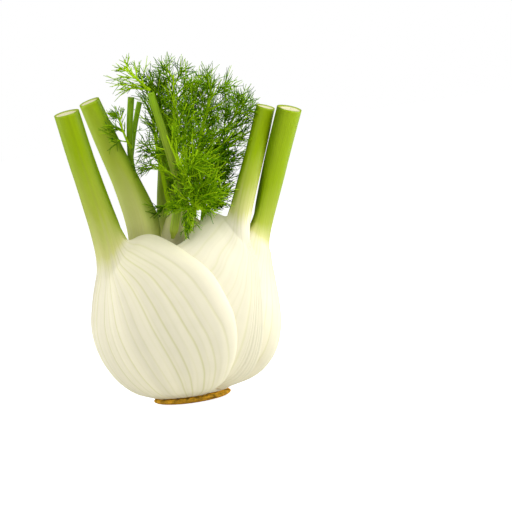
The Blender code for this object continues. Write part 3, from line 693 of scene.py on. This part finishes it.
def young_stalk_piece(name, stems, sizes, material):
    """Young stalks: a circle with shallow flutes carried along each middle line, and a cut end."""
    points, faces, greens, cuts, streaks = [], [], [], [], []
    offset = 0
    rows, sides, caps = 60, 48, 6
    turn = round_angles(sides)
    random = np.random.default_rng(YOUNG_SEED)
    for stem in stems:
        at = np.linspace(0, 1, rows)
        line = spline(stem["line"], at)
        ahead = unit(np.gradient(line, axis=0))
        across, over = square_to(ahead)
        radius = stem["radius"][0] + (stem["radius"][1] - stem["radius"][0]) * at[:, None]
        radius = radius * (0.4 + 0.6 * smooth_step(0, 0.35, at))[:, None]
        radius = radius * (1 + 0.035 * np.cos(turn * 9)[None] + 0.05 * np.cos(turn - 1)[None])
        ring = across[:, None] * np.cos(turn)[None, :, None] + over[:, None] * np.sin(turn)[None, :, None]
        rings = line[:, None] + radius[..., None] * ring
        ends, pole = cut_rings(rings[-1], ahead[-1], 0.3 * sizes.cut_sink / MM, caps)
        count = rows + caps - 1
        made = np.concatenate([rings.reshape(-1, 3), ends.reshape(-1, 3), line[:1], pole[None]])
        closed = closed_rings(count, sides, len(made) - 2, len(made) - 1)
        faces += [part + offset for part in closed]
        points.append(made)
        greens.append(share_of(*stem["green"], made[:, 2]))
        streak = np.tile(ripple(random, turn / (2 * math.pi), 24), count)
        streaks.append(np.append(streak, [0, 0]))
        cut = np.repeat(np.linspace(0, 1, caps + 1)[1:-1], sides)
        cuts.append(np.concatenate([np.zeros(rows * sides), cut, [0, 1]]))
        offset += len(made)
    lists = {"green": greens, "cut": cuts, "streak": streaks}
    attributes = {key: np.concatenate(values) for key, values in lists.items()}
    return mesh_piece(name + "_fine", np.concatenate(points), faces, attributes, material)


def twig_rows(rows):
    """A list of twigs, each a dictionary, as one dictionary of arrays."""
    return {key: np.array([row[key] for row in rows], float) for key in rows[0]}


def joined(*groups):
    """Groups of twigs put together."""
    return {key: np.concatenate([group[key] for group in groups]) for key in groups[0]}


def at_twig(twigs, t):
    """The place on each twig at t: foot + length (heading t + bend t^2 / 2)."""
    t = np.asarray(t)[..., None]
    lead = (slice(None),) + (None,) * (t.ndim - 2)
    length = twigs["length"][lead][..., None]
    return twigs["foot"][lead] + length * (twigs["heading"][lead] * t + 0.5 * twigs["bend"][lead] * t * t)


def frond_plan(frond):
    """The leaflets and needles of a frond, from the same draws and in the same order as in the part."""
    random = np.random.default_rng(frond["seed"])
    facing = direction(frond["faces"], FROND_TILT)
    leaflets, needles = [], []
    for pair in range(frond["pairs"]):
        share = (pair + 0.5) / frond["pairs"]
        place = frond["bare"] + (0.97 - frond["bare"]) * share
        foot = spline(frond["line"], np.array([place, place + 0.02]))
        ahead = unit(foot[1] - foot[0])
        for side in (-1, 1):
            aside = unit(np.cross(facing, ahead)) * side
            tilt = random.uniform(-0.9, 0.9)
            spread = math.radians(random.uniform(44, 60) - 18 * share)
            out = unit(aside * math.cos(tilt) + unit(facing) * math.sin(tilt))
            towards = ahead * math.cos(spread) + out * math.sin(spread)
            length = frond["reach"] * (1 - 0.62 * share) * random.uniform(0.85, 1.12)
            bend = ahead * 0.3 + facing * random.uniform(-0.15, 0.2) + (0, 0, random.uniform(-0.2, 0.1))
            leaflets.append(dict(foot=foot[0], heading=towards, bend=bend, length=length, flat=unit(facing)))
            needles += needles_on(leaflets[-1], random, facing + 0.2 * aside, NEEDLE_PAIRS)
    for place, azimuth, lift, length in frond["hanging"]:
        foot = spline(frond["line"], np.array([place]))[0]
        towards = unit(direction(azimuth, lift))
        leaflets.append(dict(foot=foot, heading=towards, bend=HANGING_BEND, length=length, flat=unit(facing)))
        needles += needles_on(leaflets[-1], random, facing, 1)
    return twig_rows(leaflets), twig_rows(needles)


def needles_on(leaflet, random, flat, pairs):
    """Pairs of needles along a leaflet, each leaning out to its own side by a drawn amount."""
    foot, towards, bend, length = (leaflet[key] for key in ("foot", "heading", "bend", "length"))
    made = []
    for rank in range(pairs):
        t = (rank + 0.8) / (pairs + 0.4)
        start = foot + length * (towards * t + 0.5 * bend * t**2)
        forward = unit(towards + bend * t)
        beside = unit(np.cross(forward, flat))
        for hand in (-1, 1):
            roll = random.uniform(0, 2 * math.pi)
            lean = unit(beside * hand * math.cos(0.35 * roll) + np.cross(forward, beside) * math.sin(roll))
            heading = unit(forward * 0.78 + lean * 0.62)
            reach = length * (0.42 - 0.22 * t) * random.uniform(0.8, 1.2) + 2.0
            curve = 0.24 * unit(forward + random.uniform(-0.6, 0.6, 3))
            made.append(dict(foot=start, heading=heading, bend=curve, length=reach, flat=leaflet["flat"]))
    return made


def more_leaflets(frond, random):
    """Leaflets between those of the part, shorter towards the tip, turned any way round the stem."""
    count = round(frond["pairs"] * 3.0 * frond["dense"])
    share = (np.arange(count) + random.uniform(0, 1, count)) / count
    bare = frond["bare"] * frond.get("filled", 0.75)
    place = bare + (frond.get("last", 0.95) - bare) * share
    foot = spline(frond["line"], place)
    step = 0.02
    beyond = spline(frond["line"], np.minimum(place + step, 1))
    ahead = unit(beyond - spline(frond["line"], np.minimum(place, 1 - step)))
    facing = unit(direction(frond["faces"], FROND_TILT))
    aside = unit(np.cross(facing, ahead))
    turn = random.uniform(0, 2 * math.pi, count)[:, None]
    out = aside * np.cos(turn) + np.cross(ahead, aside) * np.sin(turn)
    spread = np.radians(random.uniform(30, 62, count) - 14 * share)[:, None]
    length = frond["reach"] * (1 - 0.5 * share) * random.uniform(0.45, 0.95, count)
    bend = ahead * 0.3 + random.uniform(-0.25, 0.25, (count, 3))
    flat = unit(facing + random.uniform(-0.6, 0.6, (count, 3)))
    heading = ahead * np.cos(spread) + out * np.sin(spread)
    return dict(foot=foot, heading=heading, bend=bend, length=length, flat=flat)


def hanging_leaflets(frond, random):
    """More leaflets round each hanging one of the part, a little off in place, direction and length."""
    rows = np.array(frond["hanging"], float).reshape(-1, 4)
    rows = np.repeat(rows, round(1 + 3 * frond["dense"]), axis=0)
    count = len(rows)
    place = np.clip(rows[:, 0] + random.uniform(-0.08, 0.08, count), 0.01, 1)
    azimuth = np.radians(rows[:, 1] + random.uniform(-45, 45, count))
    lift = rows[:, 2] + random.uniform(-0.45, 0.45, count)
    heading = unit(np.stack([np.cos(azimuth), np.sin(azimuth), lift], axis=-1))
    bend = HANGING_BEND + random.uniform(-0.3, 0.3, (count, 3))
    flat = unit(random.normal(0, 1, (count, 3)))
    length = rows[:, 3] * random.uniform(0.65, 1.05, count)
    return dict(foot=spline(frond["line"], place), heading=heading, bend=bend, length=length, flat=flat)


def before_a_young_stalk(points):
    """True for points just in front of a young stalk or of a bare patch, where no thread runs."""
    x, y, z = np.moveaxis(points, -1, 0)
    before = np.zeros(x.shape, bool)
    for (left, right), (low, high) in BARE_PATCHES:
        before |= (x > left) & (x < right) & (z > low) & (z < high)
    for stem in (stem for stems in YOUNG_STALKS.values() for stem in stems):
        line_x, line_y, line_z = spline(stem["line"], np.linspace(0, 1, 40)).T
        low, high = stem["seen"]
        aside = np.abs(x - np.interp(z, line_z, line_x)) < stem["radius"][0] + 0.4
        before |= (z > low) & (z < high) & aside & (y < np.interp(z, line_z, line_y))
    return before


def in_a_leaf(points):
    """True for points inside a stalk or the bulb's outline, or just in front of a young stalk. The bulb is
    taken as an ellipse at each height, a little smaller than it is, up to where its leaves part."""
    inside = before_a_young_stalk(points)
    leaves_part = 96
    for leaf in LEAVES.values():
        at = np.linspace(0, 1, 50)
        middle, half = spline(leaf["stalk"], at), spline(leaf["half"], at).mean(axis=1)
        apart = np.linalg.norm(points[..., None, :] - middle, axis=-1)
        inside |= (apart < half * 0.92).any(axis=-1)
    height, left, right, half_depth = BULB_STATIONS.T
    a, b, d = (np.interp(points[..., 2], height, column) for column in (left, right, half_depth))
    round_it = ((points[..., 0] - (b - a) / 2) / ((a + b) / 2)) ** 2 + (points[..., 1] / d) ** 2
    return inside | ((round_it < 0.9) & (points[..., 2] < leaves_part))


def branches(parents, random, places, share, least, spread, roll):
    """A pair of twigs at each place on every parent. A twig leaves its parent's line by the spread angle,
    towards a side of the parent's flat plane that is rolled by a random amount. It is shorter further out,
    but no shorter than the least length, and bends back to its parent's direction. Twigs that would run
    inside a leaf are left out."""
    count = len(parents["length"])
    shape = (count, len(places), 2)
    single_gap = 0.35
    gap = places[1] - places[0] if len(places) > 1 else single_gap
    t = places[None, :, None] + random.uniform(-0.4, 0.4, shape) * gap
    foot = at_twig(parents, t)
    ahead = unit(parents["heading"][:, None, None] + parents["bend"][:, None, None] * t[..., None])
    flat = parents["flat"][:, None, None]
    beside = unit(np.cross(flat, ahead)) * np.array([-1, 1])[:, None]
    tilt = random.normal(0, roll, shape)[..., None]
    out = beside * np.cos(tilt) + np.cross(ahead, beside) * np.sin(tilt)
    angle = np.radians(random.uniform(*spread, shape))[..., None]
    length = parents["length"][:, None, None] * share * (1 - 0.65 * t) * random.uniform(0.7, 1.2, shape)
    made = dict(
        foot=foot,
        heading=ahead * np.cos(angle) + out * np.sin(angle),
        bend=0.4 * ahead + random.uniform(-0.7, 0.7, shape + (3,)),
        length=np.maximum(length, least),
        flat=unit(flat + random.uniform(-0.5, 0.5, shape + (3,))),
    )
    made = {key: value.reshape((-1,) + value.shape[3:]) for key, value in made.items()}
    return outside_leaves(made)


def outside_leaves(twigs):
    """The twigs that are outside the leaves at a third, at two thirds and at their tip."""
    places = np.tile([0.35, 0.7, 1.0], (len(twigs["length"]), 1))
    keep = ~in_a_leaf(at_twig(twigs, places)).any(axis=1)
    return {key: value[keep] for key, value in twigs.items()}


def twig_tubes(twigs, radii, rings, sides):
    """Many tubes at once: at each t along a twig, a regular polygon square to it, whose radius goes from the
    first radius to the second. Returns points by twig, and the faces with both ends closed."""
    count = len(twigs["length"])
    t = np.linspace(0, 1, rings)
    middle = at_twig(twigs, np.tile(t, (count, 1)))
    ahead = unit(twigs["heading"][:, None] + twigs["bend"][:, None] * t[None, :, None])
    across, over = square_to(ahead)
    turn = round_angles(sides)[:, None]
    radius = (radii[0] + (radii[1] - radii[0]) * t)[None, :, None, None]
    side = across[:, :, None] * np.cos(turn) + over[:, :, None] * np.sin(turn)
    points = middle[:, :, None] + radius * side
    block = rings * sides
    offset = (np.arange(count) * block)[:, None, None]
    walls = (ring_quads(rings, sides)[None] + offset).reshape(-1, 4)
    ends = np.stack([np.arange(sides)[::-1], np.arange(sides) + block - sides])
    return points.reshape(-1, 3), [walls, (ends[None] + offset).reshape(-1, sides)]


def stem_tube(line, radii, rings, sides):
    """One tube through the points of a curve, with both ends closed."""
    at = np.linspace(0, 1, rings)
    middle = spline(line, at)
    ahead = unit(np.gradient(middle, axis=0))
    across, over = square_to(ahead)
    turn = round_angles(sides)[:, None]
    radius = (radii[0] + (radii[1] - radii[0]) * at)[:, None, None]
    points = middle[:, None] + radius * (across[:, None] * np.cos(turn) + over[:, None] * np.sin(turn))
    ends = np.stack([np.arange(sides)[::-1], np.arange(sides) + (rings - 1) * sides])
    return points.reshape(-1, 3), [ring_quads(rings, sides), ends]


def frond_piece(name, frond, sizes, material):
    """A frond: its stem, the part's leaflets and needles with more between them, and threads on all."""
    random = np.random.default_rng(frond["seed"] + 200)
    leaflets, needles = frond_plan(frond)
    leaflets = outside_leaves(joined(leaflets, more_leaflets(frond, random)))
    needles = outside_leaves(needles)
    leaflets = outside_leaves(joined(leaflets, hanging_leaflets(frond, random)))
    places = np.linspace(0.1, 0.85, frond.get("twigs", 2) + 2)[1:-1]
    least = min(FULL_LEAST, 0.35 * frond["reach"])
    twigs = joined(branches(leaflets, random, places, 1.15, least, (24, 54), 0.9), needles)
    thread = sizes.thread_radius / MM
    places = np.linspace(0.25, 0.6, sizes.threads)
    threads = branches(twigs, random, places, 0.8, 0.6 * least, (24, 50), 1.0)
    kept = random.uniform(0, 1, len(threads["length"])) < frond.get("full", 1.0)
    threads = {key: value[kept] for key, value in threads.items()}
    # Each level: its twigs, their radius at the foot and at the tip, rings, sides and how light they are.
    levels = [
        (leaflets, (0.46, 0.24), 7, 4, 0.86),
        (twigs, (1.45 * thread, 0.75 * thread), 6, 3, 0.62),
        (threads, (1.1 * thread, 0.6 * thread), 5, 3, 0.38),
    ]
    points, faces = stem_tube(frond["line"], (frond["radius"], 0.4), 40, 8)
    all_points, all_faces, tones = [points], faces, [np.full(len(points), 0.9)]
    offset = len(points)
    for group, radii, rings, sides, tone in levels:
        points, faces = twig_tubes(group, radii, rings, sides)
        all_faces += [part + offset for part in faces]
        all_points.append(points)
        # A twig's tone: its level, its frond's light, which is painted light and shade (lighter in front,
        # darker behind), and a random spread.
        each = tone + frond["light"] + random.normal(0, TONE_SPREAD, len(group["length"]))
        tones.append(np.repeat(each, rings * sides))
        offset += len(points)
    tone = np.clip(np.concatenate(tones), 0, 1)
    return mesh_piece(name + "_fine", np.concatenate(all_points), all_faces, {"tone": tone}, material)


def new_material(name, roughness):
    """A material with its shader, ready for its colour."""
    material = bpy.data.materials.new(name)
    material.use_nodes = True
    shader = material.node_tree.nodes["Principled BSDF"]
    shader.inputs["Roughness"].default_value = roughness
    shader.inputs["Specular IOR Level"].default_value = 0.18
    return material, material.node_tree, shader


def node(tree, kind, links=None, **settings):
    """A node with its settings, and links given as input name or number: output socket or value."""
    made = tree.nodes.new(kind)
    for key, value in settings.items():
        setattr(made, key, value)
    for key, value in (links or {}).items():
        socket = made.inputs[key]
        if isinstance(value, bpy.types.NodeSocket):
            tree.links.new(value, socket)
        else:
            socket.default_value = value
    return made


def maths(tree, operation, *values, **settings):
    """One step of arithmetic over the surface, on sockets or numbers."""
    return node(tree, "ShaderNodeMath", dict(enumerate(values)), operation=operation, **settings).outputs[0]


def add_bump(tree, shader, height, strength, distance=0.15 * MM):
    """Small bumps on the shader's normal, from a height that varies over the surface."""
    bump = node(tree, "ShaderNodeBump", {"Height": height, "Strength": strength, "Distance": distance})
    tree.links.new(bump.outputs["Normal"], shader.inputs["Normal"])


def attribute(tree, name):
    """The value that the mesh carries under this name."""
    return node(tree, "ShaderNodeAttribute", attribute_name=name, attribute_type="GEOMETRY").outputs["Fac"]


def ramp(tree, factor, *stops):
    """Colours along a value: each stop is a place and a colour."""
    made = node(tree, "ShaderNodeValToRGB", {"Fac": factor})
    while len(made.color_ramp.elements) < len(stops):
        made.color_ramp.elements.new(1.0)
    for element, (place, colour) in zip(made.color_ramp.elements, stops):
        element.position = place
        element.color = (*colour, 1.0)
    return made.outputs["Color"]


def mix(tree, factor, first, second, blend="MIX"):
    """Two colours mixed by a value."""
    made = node(tree, "ShaderNodeMix", data_type="RGBA", blend_type=blend, clamp_result=True)
    for socket, value in zip((made.inputs[0], made.inputs[6], made.inputs[7]), (factor, first, second)):
        if isinstance(value, bpy.types.NodeSocket):
            tree.links.new(value, socket)
        else:
            socket.default_value = value
    return made.outputs[2]


def fibre_group():
    """Long fibres and fine mottling of the skin: a tone that multiplies the colour, and a height."""
    group = bpy.data.node_groups.get("Plant fibres")
    if group:
        return group
    group = bpy.data.node_groups.new("Plant fibres", "ShaderNodeTree")
    for name, way in (("Streak", "INPUT"), ("Contrast", "INPUT"), ("Tone", "OUTPUT"), ("Height", "OUTPUT")):
        group.interface.new_socket(name, in_out=way, socket_type="NodeSocketFloat")
    inside, outside = group.nodes.new("NodeGroupInput"), group.nodes.new("NodeGroupOutput")
    place = group.nodes.new("ShaderNodeTexCoord").outputs["Object"]
    noise = node(group, "ShaderNodeTexNoise", {"Vector": place, "Scale": 140.0, "Detail": 3.0})
    centred = maths(group, "SUBTRACT", noise.outputs["Fac"], 0.5)
    both = maths(group, "ADD", inside.outputs["Streak"], centred)
    tone = maths(group, "MULTIPLY_ADD", both, inside.outputs["Contrast"], 1.0)
    group.links.new(tone, outside.inputs["Tone"])
    group.links.new(both, outside.inputs["Height"])
    return group


def fibres(tree, contrast):
    """The fibre group placed in a material."""
    made = node(tree, "ShaderNodeGroup", node_tree=fibre_group())
    tree.links.new(attribute(tree, "streak"), made.inputs["Streak"])
    made.inputs["Contrast"].default_value = contrast
    return made.outputs["Tone"], made.outputs["Height"]


def leaf_skin(colours):
    """White skin that turns green up the stalk, with yellow-green ribs, deeper green on the stalk's inner
    side (partly its own colour, partly painted shade), and pale pith within a green rim on the cut end."""
    material, tree, shader = new_material("ribbed leaf skin", 0.36)
    tone, height = fibres(tree, 0.06)
    green = attribute(tree, "green")
    along = ramp(tree, green, (0.0, colours.white), (0.16, colours.pale), (0.46, colours.lime),
                 (0.78, colours.green))
    # Deep green towards the stalk's inner side: partly its own colour, partly painted shade.
    shaded = maths(tree, "MULTIPLY", green, 1.5, use_clamp=True)
    deeper = maths(tree, "MULTIPLY", attribute(tree, "deep_green_and_shade"), shaded)
    skin = mix(tree, deeper, along, (*colours.deep_green_and_shade, 1))
    rib = maths(tree, "MULTIPLY", attribute(tree, "rib"), 0.5)
    ribbed = mix(tree, rib, skin, (*colours.rib, 1), "DARKEN")
    fibred = mix(tree, 1.0, ribbed, tone, "MULTIPLY")
    cut = attribute(tree, "cut")
    pith = ramp(tree, cut, (0.0, colours.green), (0.16, colours.lime), (0.3, colours.pith))
    on_cut = maths(tree, "GREATER_THAN", cut, 0.02)
    tree.links.new(mix(tree, on_cut, fibred, pith), shader.inputs["Base Color"])
    add_bump(tree, shader, height, 0.25)
    return material


def heart_skin(colours):
    """Pale green skin of the youngest leaves."""
    material, tree, shader = new_material("heart skin", 0.4)
    tone, height = fibres(tree, 0.08)
    green = attribute(tree, "green")
    skin = ramp(tree, green, (0.0, colours.white), (0.25, colours.pale), (0.6, colours.lime))
    tree.links.new(mix(tree, 1.0, skin, tone, "MULTIPLY"), shader.inputs["Base Color"])
    add_bump(tree, shader, height, 0.3)
    return material


def young_skin(colours):
    """Green fluted skin of the young stalks, with pale pith on the cut."""
    material, tree, shader = new_material("young stalk skin", 0.36)
    tone, height = fibres(tree, 0.24)
    green = attribute(tree, "green")
    skin = ramp(tree, green, (0.0, colours.pale), (0.25, colours.lime), (0.55, colours.young))
    cut = attribute(tree, "cut")
    coloured = mix(tree, cut, mix(tree, 1.0, skin, tone, "MULTIPLY"), (*colours.pith, 1))
    tree.links.new(coloured, shader.inputs["Base Color"])
    add_bump(tree, shader, height, 0.3)
    return material


def frond_green(colours):
    """Green of the fronds, from dark threads to light stems."""
    material, tree, shader = new_material("frond green", 0.5)
    colour = ramp(tree, attribute(tree, "tone"), (0.1, colours.frond_dark), (0.5, colours.frond_mid),
                  (0.95, colours.frond_light))
    tree.links.new(colour, shader.inputs["Base Color"])
    shader.inputs["Specular IOR Level"].default_value = 0.06
    return material


def cork_skin(colours):
    """Rough brown cork with darker cracks and pale crumbs."""
    material, tree, shader = new_material("cork", 0.9)
    place = tree.nodes.new("ShaderNodeTexCoord").outputs["Object"]
    noise = node(tree, "ShaderNodeTexNoise", {"Vector": place, "Scale": 420.0, "Detail": 5.0})
    coarse = noise.outputs["Fac"]
    dark = tuple(c * 0.42 for c in colours.cork)
    light = tuple(min(1.0, c * 1.5) for c in colours.cork)
    skin = ramp(tree, coarse, (0.34, dark), (0.5, colours.cork), (0.66, light))
    tree.links.new(skin, shader.inputs["Base Color"])
    add_bump(tree, shader, coarse, 0.8, 0.8 * MM)
    return material


def softbox(name, place, aim, size, power):
    """A flat soft light that faces a point: its sides in metres and its power in watts."""
    light = bpy.data.lights.new(name, "AREA")
    light.shape = "RECTANGLE"
    light.size, light.size_y = size
    light.energy = power
    obj = bpy.data.objects.new(name, light)
    obj.location = place
    obj.rotation_euler = (Vector(aim) - Vector(place)).to_track_quat("-Z", "Y").to_euler()
    bpy.context.scene.collection.objects.link(obj)
    return obj


class FENNEL_OT_stage(bpy.types.Operator):
    """Pale floor, soft white light and the camera"""

    bl_idname = "fennel.stage"
    bl_label = "Stage"

    def execute(self, context):
        scene = context.scene
        scene.view_settings.view_transform = "Standard"
        self.world(scene)
        floor = self.floor()
        middle = (0.01, 0.0, 0.08)
        lights = [
            softbox("left softbox", (-1.0, 0.08, 0.40), middle, (1.0, 1.3), 8.5),
            softbox("right softbox", (1.0, -0.05, 0.40), middle, (1.0, 1.3), 13.0),
            softbox("top softbox", (0.1, -0.55, 1.05), middle, (1.6, 1.2), 10.4),
        ]
        self.camera(scene)
        return {"FINISHED"}

    def world(self, scene):
        """White all round: full strength where it is seen, softer as light on the bulb."""
        world = bpy.data.worlds.new("white studio")
        world.use_nodes = True
        tree = world.node_tree
        seen = node(tree, "ShaderNodeLightPath").outputs["Is Camera Ray"]
        strength = node(tree, "ShaderNodeMapRange", {"Value": seen, "To Min": 0.09, "To Max": 1.0})
        back = tree.nodes["Background"]
        back.inputs["Color"].default_value = (1, 1, 1, 1)
        tree.links.new(strength.outputs["Result"], back.inputs["Strength"])
        scene.world = world

    def floor(self):
        """A large white square at the height of the flat spot."""
        mesh = bpy.data.meshes.new("floor")
        half = 6.0
        corners = [(-half, -half, 0), (half, -half, 0), (half, half, 0), (-half, half, 0)]
        mesh.from_pydata(corners, [], [(0, 1, 2, 3)])
        material, tree, shader = new_material("white floor", 0.9)
        shader.inputs["Base Color"].default_value = (0.8, 0.8, 0.8, 1)
        shader.inputs["Specular IOR Level"].default_value = 0.0
        shader.inputs["Emission Color"].default_value = (1, 1, 1, 1)
        seen = node(tree, "ShaderNodeLightPath").outputs["Is Camera Ray"]
        glow = node(tree, "ShaderNodeMapRange", {"Value": seen, "To Min": 0.06, "To Max": 0.95})
        tree.links.new(glow.outputs["Result"], shader.inputs["Emission Strength"])
        mesh.materials.append(material)
        floor = bpy.data.objects.new("floor", mesh)
        bpy.context.scene.collection.objects.link(floor)
        return floor

    def camera(self, scene):
        """The photograph's viewing angle: a long lens, a little above the level and rolled."""
        camera = bpy.data.cameras.new("camera")
        camera.sensor_width = SENSOR
        camera.lens = SENSOR * DISTANCE / SHOWN_WIDTH
        camera.clip_end = 20.0
        rise = math.radians(ELEVATION)
        towards = Vector((0.0, -math.cos(rise), math.sin(rise)))
        obj = bpy.data.objects.new("camera", camera)
        turn = (-towards).to_track_quat("-Z", "Y").to_matrix() @ Matrix.Rotation(math.radians(-ROLL), 3, "Z")
        obj.matrix_world = Matrix.Translation((Vector(AIM) + towards * DISTANCE) * MM) @ turn.to_4x4()
        scene.collection.objects.link(obj)
        scene.camera = obj
        return obj


class FENNEL_OT_root_plate(bpy.types.Operator):
    """Corky root plate under the bulb"""

    bl_idname = "fennel.root_plate"
    bl_label = "Root plate"

    def execute(self, context):
        belongs(plate_piece(cork_skin(context.scene.fennel_colours)), "cork", "root_plate")
        return {"FINISHED"}


class FENNEL_OT_leaves(bpy.types.Operator):
    """Five ribbed leaf bases with their cut stalks"""

    bl_idname = "fennel.leaves"
    bl_label = "Leaf bases and stalks"

    def execute(self, context):
        material = leaf_skin(context.scene.fennel_colours)
        for name, leaf in LEAVES.items():
            belongs(leaf_piece(name, leaf, context.scene.fennel_sizes, material), "leaf", name)
        return {"FINISHED"}


class FENNEL_OT_heart(bpy.types.Operator):
    """Heart of the bulb with its pale green tip"""

    bl_idname = "fennel.heart"
    bl_label = "Heart"

    def execute(self, context):
        belongs(heart_piece(heart_skin(context.scene.fennel_colours)), "heart", "heart")
        return {"FINISHED"}


class FENNEL_OT_young_stalks(bpy.types.Operator):
    """Young stalks and the side shoot, cut short"""

    bl_idname = "fennel.young_stalks"
    bl_label = "Young stalks"

    def execute(self, context):
        material = young_skin(context.scene.fennel_colours)
        for name, stems in YOUNG_STALKS.items():
            belongs(young_stalk_piece(name, stems, context.scene.fennel_sizes, material), "young_stalk", name)
        return {"FINISHED"}


class FENNEL_OT_fronds(bpy.types.Operator):
    """Ten feathery fronds"""

    bl_idname = "fennel.fronds"
    bl_label = "Fronds"

    def execute(self, context):
        material = frond_green(context.scene.fennel_colours)
        for name, frond in FRONDS.items():
            belongs(frond_piece(name, frond, context.scene.fennel_sizes, material), "frond", name)
        return {"FINISHED"}


PIECES = (FENNEL_OT_root_plate, FENNEL_OT_leaves, FENNEL_OT_heart, FENNEL_OT_young_stalks, FENNEL_OT_fronds)


class FENNEL_PT_sidebar(bpy.types.Panel):
    """Lists the pieces and their values in the sidebar"""

    bl_idname = "FENNEL_PT_sidebar"
    bl_label = "Fennel bulb"
    bl_space_type = "VIEW_3D"
    bl_region_type = "UI"
    bl_category = "Fennel"

    def draw(self, context):
        column = self.layout.column()
        for values in (context.scene.fennel_sizes, context.scene.fennel_colours):
            for key in values.bl_rna.properties.keys():
                if key not in ("rna_type", "name"):
                    column.prop(values, key)
        for operator in (*PIECES, FENNEL_OT_stage):
            column.operator(operator.bl_idname)


CLASSES = (FennelSizes, FennelColours, *PIECES, FENNEL_OT_stage, FENNEL_PT_sidebar)


def register():
    """Adds the classes and puts the values on the scene."""
    for each in CLASSES:
        bpy.utils.register_class(each)
    bpy.types.Scene.fennel_sizes = PointerProperty(type=FennelSizes)
    bpy.types.Scene.fennel_colours = PointerProperty(type=FennelColours)


def unregister():
    """Takes the values and the classes away again."""
    del bpy.types.Scene.fennel_sizes
    del bpy.types.Scene.fennel_colours
    for each in reversed(CLASSES):
        bpy.utils.unregister_class(each)


def main():
    register()
    bpy.ops.fennel.root_plate()
    bpy.ops.fennel.leaves()
    bpy.ops.fennel.heart()
    bpy.ops.fennel.young_stalks()
    bpy.ops.fennel.fronds()
    bpy.ops.fennel.stage()


if __name__ == "__main__":
    main()
